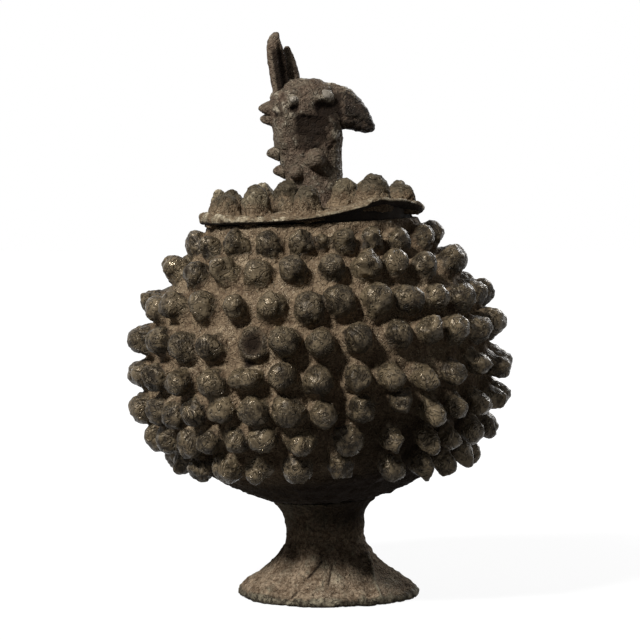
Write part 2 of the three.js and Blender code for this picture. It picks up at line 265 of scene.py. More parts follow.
knobs = {
    "sides": 12,
    # sections from the foot up, each point a radius and a height
    "dome": [(11, -3), (9.2, 0), (8.2, 3), (7.4, 6.2), (6, 9.2), (3.8, 11.4), (1.3, 12.3)],
    "thimble": [(10.8, -3), (9, 0), (8, 3), (7.3, 7), (6.4, 10), (4.3, 12.1), (1.6, 12.9)],
    "cone": [(11.2, -3), (9.3, 0), (7.8, 3), (6.4, 6.4), (4.8, 9.4), (3, 11.8), (1.1, 12.9)],
    "finger": [(10, -3), (8.3, 0), (7.3, 3), (6.9, 7), (6.3, 10.6), (4.7, 13), (1.8, 13.9)],
    "broken": [(11.4, -3), (9.6, 0), (8.8, 2.6), (8.3, 4.4), (7.2, 5.8), (5.8, 5.4), (4.4, 3.6), (3, 2.4),
               (1.4, 2.2)],
    # flats sliced off a finger: a point on the slice and its outward direction
    "chisel": [((3.2, 0, 11), (0.75, 0.1, 0.7)), ((-1, -4, 10.6), (-0.15, -0.85, 0.55)),
               ((-4, 2, 9.6), (-0.8, 0.35, 0.45))],
    "wedge": [((0, 3, 11.4), (0.1, 0.7, 0.7)), ((1.5, -3.6, 9.4), (0.35, -0.85, 0.35))],
    # bites out of the broken rim: axis, side of it, depth, how far out it is deepest
    "bites": [(0, 1, 2.6, 7), (1, -1, 1.8, 6)],
}


def modelKnobs():
    models = {}
    for kind in ("dome", "thimble", "cone", "finger", "broken"):
        models[kind] = stackRings(kind, roundRings(knobs[kind]), knobs["sides"])
    for kind in ("chisel", "wedge"):
        models[kind] = stackRings(kind, roundRings(knobs["finger"]), knobs["sides"])
        for point, normal in knobs[kind]:
            facet(models[kind], point, normal)
    points = pointsOf(models["broken"])
    for axis, side, depth, far in knobs["bites"]:
        bite = depth * mm * ease(2, far, side * points[:, axis] / mm) * ease(2, 5, points[:, 2] / mm)
        points[:, 2] -= bite
    putPoints(models["broken"], points)
    return models


# Its own z along a direction and its own y up the wall, then spun and scaled.
def standing(point, direction, spin, scale):
    outward = Vector(direction).normalized()
    across = Vector((0, 0, 1)).cross(outward).normalized()
    turn = Matrix((across, outward.cross(across), outward)).transposed().to_4x4()
    return Matrix.Translation(point) @ turn @ Matrix.Rotation(spin, 4, "Z") @ Matrix.Diagonal((*scale, 1))


# A hand's unevenness from knob to knob.
hand = {
    "girth": (0.92, 1.07),
    "roundness": (0.93, 1.07),
    "length": (0.88, 1.08),
    "lean": 4,  # degrees
    "spin": 3,  # radians, for the kinds that are round
    "flatSpin": 0.5,  # and for those with flats
    "lift": (-2.5, 2.5),
    "tone": (0.28, 0.72),
}


def handScale(girth, length):
    wide = girth * chance.uniform(*hand["girth"])
    return (wide * chance.uniform(*hand["roundness"]), wide, length * chance.uniform(*hand["length"]))


def handLean(direction):
    off = Vector([chance.uniform(-1, 1) for _ in range(3)]) * math.sin(math.radians(hand["lean"]))
    return (Vector(direction).normalized() + off).normalized()


def handSpin(kind):
    most = hand["flatSpin"] if kind in ("chisel", "wedge") else hand["spin"]
    return chance.uniform(-most, most)


models = modelKnobs()
print("knob models:", len(models))


# bowl, in mm from the middle of its base, and upright

bowl = {
    "bellyRadius": 90,
    "keelDepth": 78,
    "crownDepth": 76.9,
    "baseRadius": 28.4,
    "collarRadius": 56.6,
    "collarHeight": 13.8,
    "lip": [(0, -9), (0.3, -4), (0, -1.4), (-0.9, -0.2), (-1.6, 2)],  # outside the collar, above the rim
    "wall": 3.6,
    "floor": 4.2,
    "cutDepth": 0.5,  # under the rim, where the mouth is cut open
    "innerLip": [(1.6, 0.35), (0.5, -0.1), (0, -1.6)],  # outside the inner wall, above the cut
    "sides": 96,
    "wallSteps": 22,
    "liningSteps": 16,
    "voxel": 1.05,
    "triangles": 180000,
    "grain": [(24, 2), (7.5, 3), (2.8, 1.4)],
    "valleyHeight": 4.5,  # over the wall, up to which the skin is smoothed between knobs
    "fullRelief": 9.5,  # over the wall, from which the metal is bare
    "insideRelief": 0.45,
    # rows from the mouth down: degrees up the wall, girth, how many knobs go behind, the turns of
    # the front ones, and how many steps each of these sits above its row
    "liftStep": 0.36,  # degrees
    "rows": [
        {"angle": 49.9, "girth": 0.93, "behind": 10,
         "front": [-80, -57, -39, -22.2, -5.6, 3.5, 14.5, 29, 46, 68, 86],
         "lift": [0, -3, 0, 1, 0, 3, 1, 2, -1, 0, 0]},
        {"angle": 37.8, "girth": 0.96, "behind": 13,
         "front": [-73, -54, -38, -23, -8, 7, 21, 34, 49, 68, 84],
         "lift": [0, -2, 1, -1, 0, 0, 1, 3, -2, -2, 0]},
        {"angle": 23.8, "girth": 0.98, "behind": 14,
         "front": [-86, -70, -57, -42, -28, -15, -2, 8, 21, 33, 46, 59, 74],
         "lift": [0, -4, 1, 2, -1, 1, -2, 4, 1, 0, 0, -3, 0]},
        {"angle": 10.7, "girth": 1, "behind": 14,
         "front": [-90, -76, -60, -48, -36, -21, -10, 1, 13, 27, 38, 49, 63],
         "lift": [0, 0, 1, -3, -3, 0, -1, -2, 1, 3, 3, 1, -1]},
        {"angle": -2.3, "girth": 1, "behind": 15,
         "front": [-78, -62, -48, -35, -23, -11, 0, 12, 22, 34, 46, 58, 72],
         "lift": [0, 1, -3, -4, 1, 3, -3, -2, 0, -3, 0, 6, 1]},
        {"angle": -14.2, "girth": 1, "behind": 16,
         "front": [-80, -66, -56, -44, -33, -21, -10, 1, 13, 26, 37, 48, 60],
         "lift": [0, -2, -4, 0, 3, 3, 1, -2, 0, 9, -2, -2, -1]},
        {"angle": -25.2, "girth": 1, "behind": 14,
         "front": [-80, -67, -52, -42, -30, -20, -7, 9, 24, 39, 50, 64, 80],
         "lift": [0, 0, -2, 1, 2, 5, -2, 0, 0, -3, -4, -1, 0]},
        {"angle": -37.2, "girth": 1.04, "behind": 13,
         "front": [-76, -54, -40, -26, -10, 7, 27, 41, 56, 76],
         "lift": [0, 1, 0, -1, 1, 1, 1, 0, -2, 0]},
    ],
    "girth": 1.03,
    # the lower rows at the right hang, longer and thinner: the first such row, turns, droop
    "hanging": {"row": 4, "from": 20, "to": 150, "droop": 0.3, "girth": 0.88, "length": 1.12},
    # knobs unlike their neighbours, by row and turn, or by turn alone
    "ownKinds": {(3, -21): "broken", (6, -7): "cone", (1, -38): "wedge", (4, 0): "dome"},
    "ownScales": {3.5: (0.62, 0.62, 0.7), -80: (1.1, 1.1, 1.15)},  # a small one, and those at the left
    "twin": (4, -23),  # two lobes on one foot
    "twinApart": 3.4,
    "knobReach": 7,  # from the wall to about the middle of a knob
    "brokenSoot": (4, 8),  # how far out of the wall it lies and its reach
    "brokenRuns": [((-3, -1, -9), 3.4), ((5, -2, -6), 3)],  # what ran out of it: place and reach
    # painted shade under the belly, by mm below it, by turn and by relief, and round the base
    "shadeBelow": (-8, 42),
    "shadeTurns": (-35, 55),
    "shadeRelief": (0.15, 0.75),
    "baseShade": (52, 66),
}


def arcRise(depth, radius):  # from the belly to where the wall has come in to a radius
    return depth * math.sin(math.acos(radius / bowl["bellyRadius"]))


bellyHeight = arcRise(bowl["keelDepth"], bowl["baseRadius"])
collarFoot = bellyHeight + arcRise(bowl["crownDepth"], bowl["collarRadius"])
rimHeight = collarFoot + bowl["collarHeight"]


def arcDepth(angle):  # the wall is one ellipse below the belly and another above it
    return bowl["keelDepth"] if angle < 0 else bowl["crownDepth"]


def wallPoint(angle, inset=0):  # (radius, height) of the bowl's section at an angle in degrees
    turn = math.radians(angle)
    radius = (bowl["bellyRadius"] - inset) * math.cos(turn)
    return (radius, bellyHeight + (arcDepth(angle) - inset) * math.sin(turn))


def wallArc(low, high, steps, inset=0):
    return [wallPoint(low + (high - low) * i / steps, inset) for i in range(steps + 1)]


def rowTurns(row):  # the ones behind share what is left, each a little off its place
    first, last = row["front"][0], row["front"][-1]
    step = (360 + first - last) / (row["behind"] + 1)
    sway = [0.1 * math.sin(17.3 * i + 7.9 * row["behind"] + 13) for i in range(row["behind"])]
    return row["front"] + [last + step * (i + 1 + sway[i]) for i in range(row["behind"])]


def knobKind(number, turn):
    if (number, turn) in bowl["ownKinds"]:
        return bowl["ownKinds"][number, turn]
    if number >= bowl["hanging"]["row"] and 0 < turn < 200:
        return chance.choice(["finger", "chisel", "chisel", "wedge", "finger", "thimble"])
    return chance.choice(["dome", "thimble", "thimble", "cone", "dome", "chisel", "finger"])


def bowlKnobs():
    made, tips, sooted = [], [], []
    hanging = bowl["hanging"]
    for number, row in enumerate(bowl["rows"]):
        for place, turn in enumerate(rowTurns(row)):
            lift = row["lift"][place] if place < len(row["lift"]) else chance.uniform(*hand["lift"])
            angle = row["angle"] + bowl["liftStep"] * lift
            radius, height = wallPoint(angle)
            foothold = around(radius, turn, height) * mm
            rise = bowl["bellyRadius"] * math.tan(math.radians(angle)) / arcDepth(angle)
            hangs = number >= hanging["row"] and hanging["from"] < turn < hanging["to"]
            direction = handLean(around(1, turn, rise - hanging["droop"] * hangs))
            kind = knobKind(number, turn)
            spin = handSpin(kind)
            girth = row["girth"] * (hanging["girth"] if hangs else bowl["girth"])
            scale = handScale(girth, hanging["length"] if hangs else 1)
            scale = bowl["ownScales"].get(turn, scale)
            if (number, turn) == bowl["twin"]:
                for side in (-1, 1):
                    aside = around(1, turn + 90, 0) * bowl["twinApart"] * side * mm
                    lobe = standing(foothold + aside, direction, spin, (0.72, 0.8, 0.95 + 0.06 * side))
                    made.append(copyOf(models["dome"], "knob", lobe))
            else:
                made.append(copyOf(models[kind], "knob", standing(foothold, direction, spin, scale)))
            tips.append(foothold + direction * bowl["knobReach"] * mm)
            if kind == "broken":
                out, reach = bowl["brokenSoot"]
                sooted.append((foothold + direction * out * mm, reach))
                sooted += [(foothold + Vector(off) * mm, reach) for off, reach in bowl["brokenRuns"]]
    return made, tips, sooted


def overShell(points):  # mm above the bowl's bare wall
    radius, height = reachOf(points), points[:, 2] / mm - bellyHeight
    depth = np.where(height < 0, bowl["keelDepth"], bowl["crownDepth"])
    wall = (np.hypot(radius / bowl["bellyRadius"], height / depth) - 1) * (bowl["bellyRadius"] + depth) / 2
    return np.where(height + bellyHeight > collarFoot, radius - bowl["collarRadius"], wall)


def modelBowl():
    low = -math.degrees(math.acos(bowl["baseRadius"] / bowl["bellyRadius"]))
    high = math.degrees(math.acos(bowl["collarRadius"] / bowl["bellyRadius"]))
    outline = wallArc(low, high, bowl["wallSteps"])
    outline += [(bowl["collarRadius"] + out, rimHeight + up) for out, up in bowl["lip"]]
    shell = stackRings("shell", roundRings(outline), bowl["sides"])
    made, tips, sooted = bowlKnobs()
    body = fuse("knobbed_bowl_cast", shell, *made)
    skin(body, bowl["voxel"])
    between = np.clip(1 - overShell(pointsOf(body)) / bowl["valleyHeight"], 0, 1)
    soften(body, 4, addGroup(body, "valleys", between))
    roughen(body, bowl["grain"])
    print("bowl skin:", len(body.data.vertices))
    lineBowl(body)
    thin(body, bowl["triangles"])
    points = pointsOf(body)
    over = overShell(points)
    inside = (reachOf(points) < bowl["collarRadius"] - 1.2) & (over < -2)
    relief = np.where(inside, bowl["insideRelief"], over / bowl["fullRelief"])
    finishSkin(body, relief, knobTones(points, tips), bowlSootAndShade(points, relief, sooted))
    return body


# Cuts the cap off at the rim and runs the cut edge down the inner wall to the floor.
def lineBowl(body):
    wall, inner = bowl["wall"], bowl["collarRadius"] - bowl["wall"]
    lowest = -math.degrees(math.asin((bellyHeight - bowl["floor"]) / (bowl["keelDepth"] - wall)))
    highest = math.degrees(math.acos(inner / (bowl["bellyRadius"] - wall)))
    edge = rimHeight - bowl["cutDepth"]
    lining = [(inner + out, edge + up) for out, up in bowl["innerLip"]]
    lining += wallArc(highest, lowest, bowl["liningSteps"], wall) + [(3, bowl["floor"])]
    editAll(body)
    bpy.ops.mesh.bisect(plane_co=(0, 0, edge * mm), plane_no=(0, 0, 1), clear_outer=True)
    bpy.ops.mesh.select_mode(type="EDGE")
    bpy.ops.mesh.select_non_manifold(
        extend=False, use_wire=False, use_multi_face=False, use_non_contiguous=False, use_verts=False)
    last = (bowl["collarRadius"] - 0.7, edge)  # as wide as the cut comes out
    for radius, height in lining:
        bpy.ops.mesh.extrude_region_move(TRANSFORM_OT_translate={"value": (0, 0, (height - last[1]) * mm)})
        growth = radius / last[0]
        bpy.ops.transform.resize(value=(growth, growth, 1), center_override=(0, 0, height * mm))
        last = (radius, height)
    bpy.ops.mesh.merge(type="CENTER")
    bpy.ops.mesh.select_all(action="SELECT")
    bpy.ops.mesh.normals_make_consistent(inside=False)
    leaveEdit()


def knobTones(points, tips):  # each knob has a tone of its own, and the wall takes the nearest
    tree = KDTree(len(tips))
    for number, tip in enumerate(tips):
        tree.insert(tip, number)
    tree.balance()
    shades = [chance.uniform(*hand["tone"]) for _ in tips]
    return [shades[tree.find(point)[1]] for point in points]


def bowlSootAndShade(points, relief, sooted):
    sootAndShade = np.zeros(len(points))
    for spot, reach in sooted:
        sootAndShade += np.exp(-(np.linalg.norm(points - np.array(spot), axis=1) / (reach * mm)) ** 2)
    # painted shade: darker below the belly, more towards the right, and round the base
    depth = bellyHeight - points[:, 2] / mm
    below = ease(*bowl["shadeBelow"], depth) * (0.3 + 0.7 * ease(*bowl["shadeTurns"], turnOf(points)))
    sootAndShade += 0.8 * below * (1 - ease(*bowl["shadeRelief"], relief)) + 0.5 * ease(*bowl["baseShade"], depth)
    return np.minimum(sootAndShade, 1)


bowlCast = modelBowl()
print("bowl:", len(bowlCast.data.polygons))


# foot, in mm over the ground

foot = {
    "height": 52,
    "radius": 48,
    "rimHeight": 4.6,
    "wall": 3.6,
    "neckRadius": 20.6,
    "neckHeight": 35,
    "topRadius": 27.4,
    "topFlare": 0.6,
    "outerRim": [(-2, 0), (-0.5, 0.3), (0, 1.5), (-0.3, 3.2)],  # outside the radius, height
    "innerRim": [(-6, 0.3), (-4, 0), (-2, 0)],
    "hollowFrom": 0.8,
    "gap": 0.3,  # to the bowl on it
    "shift": 0.5,  # of the bowl, towards -X
    "sides": 96,
    "voxel": 0.9,
    "grain": [(20, 2.4), (5, 1.5), (2.2, 0.9)],
    # creases and folds: a line in mm seen from the front, width and depth
    "marks": [
        ([(2.3, 20), (0.8, 14), (-0.5, 8.6)], 1.1, -1),
        ([(-3.5, 21), (-7, 17), (-10.6, 13)], 1, -0.8),
        ([(-16.3, 7), (-19, 4.2)], 1.2, -0.8),
        ([(-13, 20), (-17, 12), (-24, 7)], 3.4, -0.7),
        ([(-8, 24), (-12, 16), (-16, 10)], 2.2, 0.7),
        ([(21, 22), (24, 13), (27, 4.6)], 1.5, 1.3),
        ([(17.5, 22), (20, 13), (22, 6)], 2.2, -0.8),
        ([(25, 26), (31, 18), (44, 9.6)], 1.5, -1.6),
        ([(26.5, 28), (33, 20), (44, 12.5)], 1.6, 1.1),
        ([(8, 22), (11, 12), (13, 6)], 2.6, -0.6),
        ([(-30, 7), (-38, 5)], 3, 0.8),
    ],
    "markStrength": 1.4,
    "shadedMark": -0.75,  # deeper marks than this are darkened with painted shade
    "rimLift": (0.3, 0.6),  # unevenness under the rim, and at its right from the turn below
    "rimLiftTurn": 60,
}
leanAngle = 2.5  # degrees, of bowl and lid, over the foot towards -X
leanSlope = math.tan(math.radians(leanAngle))


def footOuter(height):
    if height < foot["neckHeight"]:
        share = min((foot["neckHeight"] - height) / (foot["neckHeight"] - foot["rimHeight"]), 1)
        return foot["neckRadius"] + (foot["radius"] - foot["neckRadius"]) * share ** 2
    share = (height - foot["neckHeight"]) / (foot["height"] - foot["neckHeight"])
    return foot["neckRadius"] + (foot["topRadius"] - foot["neckRadius"]) * share ** 3


def footOutline():  # up the outside, over the top and down the inside
    outer = [(footOuter(height), height) for height in np.linspace(foot["rimHeight"], foot["height"], 15)]
    inner = []
    for (below, low), (radius, height), (above, high) in zip(outer, outer[1:], outer[2:]):
        slope = (above - below) / (high - low)
        reach = foot["wall"] / math.hypot(1, slope)
        if height + slope * reach > foot["hollowFrom"]:
            inner.append((radius - reach, height + slope * reach))
    rim, top = foot["radius"], foot["topRadius"]
    outline = [(rim + out, height) for out, height in foot["outerRim"]] + outer[1:]
    outline += [(top + foot["topFlare"], foot["height"]), (top - foot["wall"], foot["height"])] + inner[::-1]
    return outline + [(rim + out, height) for out, height in foot["innerRim"]]


def modelFoot():
    cast = stackRings("pedestal_foot_cast", roundRings(footOutline()), foot["sides"], capped=False)
    skin(cast, foot["voxel"])
    soften(cast, 2)
    for line, width, depth in foot["marks"]:
        press(cast, line, width, depth * foot["markStrength"])
    roughen(cast, foot["grain"])
    points = pointsOf(cast)
    turn, height = turnOf(points), points[:, 2] / mm
    little, much = foot["rimLift"]
    rise = np.where(turn > foot["rimLiftTurn"], much, little) * (1 + np.sin(np.radians(turn * 5)) * 0.5)
    points[:, 2] += rise * mm * (1 - ease(2, 12, height)) * ease(0.2, 2, height)
    share = ease(foot["rimHeight"], foot["height"], height)  # the top tilts with the bowl
    across = points[:, 0].copy()
    points[:, 0] -= leanSlope * points[:, 2]
    points[:, 2] += leanSlope * share * across
    points[:, 2] = np.maximum(points[:, 2], 0)
    putPoints(cast, points)
    relief = 0.24 + 0.5 * (1 - ease(1, 6, height)) + 0.2 * ease(26, 44, height)
    # painted shade on the neck under the bowl, more at the right
    sootAndShade = 0.8 * ease(27, 46, height) * (0.45 + 0.55 * ease(-40, 40, turn))  # the neck, more at the right
    # painted shade under the rim, on faces that look down
    sootAndShade += 0.5 * (1 - ease(1.2, 3.4, height)) * ease(-0.2, 0.4, -normalsOf(cast)[:, 2])
    # painted shade in the deeper creases
    for line, width, depth in foot["marks"]:
        if depth < foot["shadedMark"]:
            sootAndShade += 0.9 / width * nearLine(cast, line, 0.8)
    finishSkin(cast, relief, 0.5, np.clip(sootAndShade, 0, 1))
    return cast


footCast = modelFoot()
print("foot:", len(footCast.data.polygons))

# The lid's seat is where its joint stands, and bowl and foot follow from it.
lean = Matrix.Rotation(math.radians(-leanAngle), 4, "Y")
lidSeat = Vector(next(joint["pos_m"] for joint in frame["joints"] if joint["name"] == "lid_lift"))
bowlSeat = lidSeat - lean @ (Vector((-foot["shift"], 0, rimHeight + foot["gap"])) * mm)
footDrop = (foot["shift"] - leanSlope * foot["height"], 0, foot["height"] + foot["gap"])
footSeat = bowlSeat - Vector(footDrop) * mm
settle(bowlCast, bowlSeat, lean)
settle(footCast, footSeat)


# lid, in mm over the mouth

lid = {
    "radius": 60.4,
    "thickness": 3.4,
    "edgeThickness": 5,
    "flatRadius": 19.7,  # level under the bird
    "rise": 3,
    "edgeLift": 8,
    "liftTurn": 45,
    "liftSpread": 34,
    "liftPower": 1.2,
    "sides": 120,
    "voxel": 0.85,
    "grain": [(14, 1.8), (4.6, 2.2), (2.2, 1.2)],
    # thickness of the rolled edge by turn, as a share
    "roll": [(-180, 1), (-110, 1), (-75, 1.35), (-50, 1.05), (-25, 0.72), (0, 0.5), (28, 0.42), (36, 0.62),
             (60, 0.6), (84, 1), (120, 1), (180, 1)],
    "step": 1.3,  # the ragged one beside the highest point
    "knobRings": [28.58, 47.03],
    "knobTurns": [[-75, -24, 38, 88, 137, 186, 236],
                  [-72, -36, -2, 43, 80, 107, 134, 161, 188, 215, 241, 264]],
    "knobTilt": 10,
    "knobSunk": 0.2,
    "knobVoxel": 0.6,
    "knobGrain": [(9, 2), (4, 2), (1.9, 0.9)],
    "knobRelief": 18,
    # knobs seen from the front: kind, scales across, along and up, spin in degrees
    "knobLooks": {
        1: ("dome", 0.9, 0.9, 1.2, 0),
        2: ("thimble", 0.95, 0.95, 1.25, 40),
        3: ("dome", 1, 1, 1.2, 0),
        8: ("dome", 1.05, 1.14, 0.96, 0),
        9: ("wedge", 1.1, 1.1, 1.05, 150),
        10: ("thimble", 0.95, 1, 1.05, 0),
        11: ("dome", 1.12, 1.05, 1.2, 0),
        12: ("dome", 1.1, 1.1, 1, 0),
    },
    "otherKinds": ["dome", "thimble", "cone", "chisel"],
    "otherLength": 1.08,
}


def lidBend(x, y):  # mm that the plate rises above level at a point in mm
    off = (np.degrees(np.arctan2(x, -y)) - lid["liftTurn"]) / lid["liftSpread"]
    reach = np.maximum(np.hypot(x, y) - lid["flatRadius"], 0) / (lid["radius"] - lid["flatRadius"])
    dome = lid["rise"] * (1 - ease(0, 1, reach))
    return dome + lid["edgeLift"] * np.exp(-off * off) * reach ** lid["liftPower"]


def modelPlate():
    radius, thick, edge = lid["radius"], lid["thickness"], lid["edgeThickness"]
    underside = [(8, 0), (22, 0), (40, 0), (56, 0), (59.4, 0.3)]
    rolled = [(radius, 1.7), (radius - 0.2, 3.4), (radius - 1.4, edge - 0.4), (radius - 3.2, edge)]
    topside = [(radius - 6, thick + 0.3), (44, thick), (26, thick), (8, thick)]
    plate = stackRings("lid_plate_cast", roundRings(underside + rolled + topside), lid["sides"])
    skin(plate, lid["voxel"])
    points = pointsOf(plate)
    turn, reach = turnOf(points), reachOf(points)
    roll = np.interp(turn, *zip(*lid["roll"]))
    points[:, 2] *= 1 + (roll - 1) * ease(50, 57, reach)
    wobble = 0.5 * np.sin(np.radians(turn * 3 + 40)) + 0.35 * np.sin(np.radians(turn * 7))
    points[:, :2] *= (1 - np.abs(wobble) * 0.012 * ease(45, 60, reach))[:, None]
    bend = lidBend(points[:, 0] / mm, points[:, 1] / mm)
    points[:, 2] += bend * mm
    ragged = ease(29, 32, turn) * (1 - ease(36, 44, turn)) * ease(54, 59, reach)
    points[:, 2] += ragged * lid["step"] * mm
    putPoints(plate, points)
    upper = ease(1, 3, points[:, 2] / mm - bend)
    roughen(plate, lid["grain"], addGroup(plate, "upper", upper))
    relief = 0.14 + 0.14 * ease(54, 59, reachOf(pointsOf(plate)))
    # painted shade on the plate's underside
    undersideShade = 1 - ease(-0.6, -0.1, normalsOf(plate)[:, 2])
    finishSkin(plate, relief, 0.8, undersideShade * 0.9)
    return plate


def modelLidKnobs():
    made = []
    spots = [(radius, turn) for radius, turns in zip(lid["knobRings"], lid["knobTurns"]) for turn in turns]
    for number, (radius, turn) in enumerate(spots, 1):
        name = f"lid_knob_{number:02d}"
        other = (chance.choice(lid["otherKinds"]), 1, 1, lid["otherLength"], chance.uniform(-180, 180))
        kind, across, along, up, spin = lid["knobLooks"].get(number, other)
        spot = around(radius, turn, lid["thickness"])
        spot.z += float(lidBend(spot.x, spot.y)) - lid["knobSunk"]
        direction = around(math.tan(math.radians(lid["knobTilt"])), turn, 1)
        place = standing(spot * mm, direction, math.radians(spin), (across, along, up))
        knob = copyOf(models[kind], f"{name}_cast", place)
        skin(knob, lid["knobVoxel"])
        soften(knob, 2)
        roughen(knob, lid["knobGrain"])
        above = pointsOf(knob)[:, 2] / mm - spot.z
        finishSkin(knob, above / lid["knobRelief"], chance.random())
        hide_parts(name)
        made.append(knob)
    return made


# bird: head, beak, pellets and crest, in mm forward, across and up

bird = {
    "base": 6.7,  # over the lid's own zero
    "voxel": 0.55,
    "grain": [(7, 1.8), (3, 1), (1.5, 0.45)],
    # height, forward, half length, half width
    "head": [
        (-1.2, 1.6, 18.6, 17.6), (1.5, 2, 16.9, 16), (4, 2.4, 15.6, 14.6), (9, 2.6, 15.2, 13.8),
        (14, 2.6, 15.2, 13.4), (22, 1.2, 16, 13.2), (28, 0.4, 17, 13.6), (33, 0, 18, 14),
        (40, -0.2, 18.3, 14.2), (46, -0.4, 18.7, 14.6), (51, -0.6, 18.8, 14.8), (56, -0.9, 18.4, 14.4),
        (60, -1.1, 17.6, 13.4), (63.4, -1.3, 15.8, 11.6), (66, -1.5, 12.6, 9.2), (67.8, -1.6, 8, 6),
        (68.5, -1.6, 3, 2.4),
    ],
    # heights between which the plan grows square, and round again
    "squareFrom": (30, 40),
    "squareTo": (60, 66),
    # forward, lower edge, upper edge, half width
    "beak": [
        (4, 45, 66, 7.4), (9, 43, 66.6, 7.8), (13.5, 41.4, 65.6, 8), (17.5, 40.4, 64.4, 8),
        (21.2, 40.6, 63, 7.9), (25.6, 39.8, 59.6, 7.3), (29.4, 39, 55.4, 6.1), (32.3, 38.6, 50.6, 4.7),
        (34.2, 38.8, 46.4, 3.3), (35.2, 39.6, 43.4, 1.6),
    ],
    # lines pressed into both sides of the beak: forward and height, width, depth
    "beakFolds": [
        ([(18, 47.4), (26, 45.6), (33, 42)], 1.1, -0.7),
        ([(19, 59), (25, 55.5), (30, 50)], 1.6, -0.5),
    ],
    # and into both sides of the head, with how dark each is painted as shade
    "marks": [
        ([(8, 53.2), (13.6, 52.6)], 3.2, -4, 1.3),  # eye socket
        ([(-6.6, 52.6)], 2.1, -2.6, 1.3),  # ear
        ([(-3, 46.6), (2, 46.2), (7, 45)], 3.2, -1.8, 1.3),  # recess of the neck
        ([(-4, 40.4), (2, 39), (8, 38)], 4, -1.4, 0.85),
        ([(-3.6, 33.6), (4, 32.6)], 3.2, -0.9, 0.6),
        ([(9, 46.6), (14, 43)], 3, -0.8, 0.5),
        ([(6, 52), (15, 48)], 2.4, -0.6, 0.4),
        ([(12.6, 33), (11.6, 20)], 2.6, -0.5, 0.35),
        ([(-6, 31), (6, 30)], 1.8, -0.8, 0.35),
        ([(13.4, 44), (14.4, 30), (13, 22)], 1.8, 0.8, 0),  # throat strip
        ([(-14.6, 56), (-13, 47)], 1.2, -0.9, 0.5),
        ([(-16.4, 49.7)], 1.9, -1.4, 1),
        ([(-13, 61), (-10, 57)], 1.6, -0.8, 0.3),
        ([(-11, 42), (-9.6, 34), (-13, 28)], 2, -1, 0.35),
        ([(3, 20), (8, 14)], 2.4, -1, 0.4),
    ],
    # height, turn from the beak towards the bird's right, scales across, up and out, relief, on both sides
    "pellets": {
        "eye": (59, 50, (0.43, 0.258, 0.1), 1, True),
        "ear": (57, 107, (0.25, 0.245, 0.24), 1, True),
        "throat_pellet": (25.4, 80, (0.6, 0.588, 0.5), 0.4, True),
        "nape_pellet": (18.5, 122, (0.46, 0.4508, 0.44), 0.4, True),
        "nape_spike_a": (53.6, 173, (0.46, 0.4508, 0.5), 0.4, False),
        "nape_spike_b": (48, 184, (0.46, 0.4508, 0.46), 0.4, False),
        "nape_spike_c": (29.7, 177, (0.44, 0.4312, 0.42), 0.4, False),
        "nape_spike_d": (20.2, 183, (0.44, 0.4312, 0.4), 0.4, False),
    },
    "pelletVoxel": 0.35,
    "pelletGrain": [(3, 0.7), (1.2, 0.25)],
    # forward, height, half length, half width, from the foot of a feather to its tip
    "feathers": {
        "right": {
            "side": 1,
            "rings": [
                (-11, 52, 5, 4.2), (-12.6, 60, 4.9, 4.2), (-13.6, 67, 4.8, 4.4), (-14.2, 74, 5, 4.6),
                (-14.9, 80, 4.9, 4.4), (-15.6, 85, 4.3, 3.9), (-15.8, 89, 3.5, 3.2), (-15, 92, 2.4, 2.3),
                (-14.4, 93.4, 1.2, 1.2)],
            "hollow": [
                (-10, 60, 1, 1), (-9.6, 64, 2.6, 3), (-10.2, 72, 3.1, 3.6), (-11.4, 79, 2.7, 3.4),
                (-12.6, 84, 1.8, 2.4), (-13, 87, 0.8, 1)],
        },
        "left": {
            "side": -1,
            "rings": [
                (-6, 56, 4.3, 3.8), (-6.6, 63, 4.3, 3.9), (-7.2, 69, 4.3, 4), (-7.8, 75, 4, 3.7),
                (-8.6, 80, 3.3, 3), (-9, 84, 2.2, 2.1), (-9, 86.2, 1, 1)],
            "hollow": [(-6.6, 64, 1, 1), (-6.8, 69, 2.2, 2.8), (-7.6, 75, 2, 2.7), (-8.6, 81, 1, 1.4)],
        },
    },
    "featherVoxel": 0.42,
    "featherGrain": [(4, 0.9), (1.6, 0.4)],
    "crestSpacing": 9.4,
    "scoopAside": 3.1,  # of a feather's middle, away from the other
}


# How much further the head's squared plan reaches than a round one, by how far aside a point lies.
def squareOff(aside, height):
    corner = (np.abs(aside) ** 3 + (1 - aside ** 2) ** 1.5) ** (-1 / 3) - 1
    return corner * ease(*bird["squareFrom"], height) * (1 - ease(*bird["squareTo"], height))


def headSpot(height, turn):  # a point on the head's skin and the direction square to it
    levels = np.array(bird["head"])
    forward, long, wide = (float(np.interp(height, levels[:, 0], levels[:, k])) for k in (1, 2, 3))
    cos, sin = math.cos(math.radians(turn)), math.sin(math.radians(turn))
    boxy = 1 + float(squareOff(sin, height))
    spot = Vector((forward + long * cos * boxy, -wide * sin * boxy, height))
    return spot, Vector((cos / long, -sin / wide, 0)).normalized()


def modelHead():
    rings = [(forward, 0, height, long, wide) for height, forward, long, wide in bird["head"]]
    head = stackRings("bird_head_cast", rings, 48)
    skin(head, bird["voxel"])
    soften(head, 4)
    points = pointsOf(head)
    height = points[:, 2] / mm
    aside = points[:, 1] / np.maximum(np.hypot(points[:, 0], points[:, 1]), 1e-6)
    points[:, :2] *= (1 + squareOff(aside, height))[:, None]
    putPoints(head, points)
    sootAndShade = np.zeros(len(points))
    # painted shade in the pressed recesses, as dark as each mark says
    for line, width, depth, dark in bird["marks"]:
        for side in (-1, 1):
            sootAndShade += dark * nearLine(head, line, width, (0, side, 0))
            press(head, line, width, depth, (0, side, 0))
    roughen(head, bird["grain"])
    finishSkin(head, 0.38 - 0.2 * (1 - ease(2, 10, height)), 0.6, np.clip(sootAndShade, 0, 1), passes=24)
    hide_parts("bird_head")
    return head


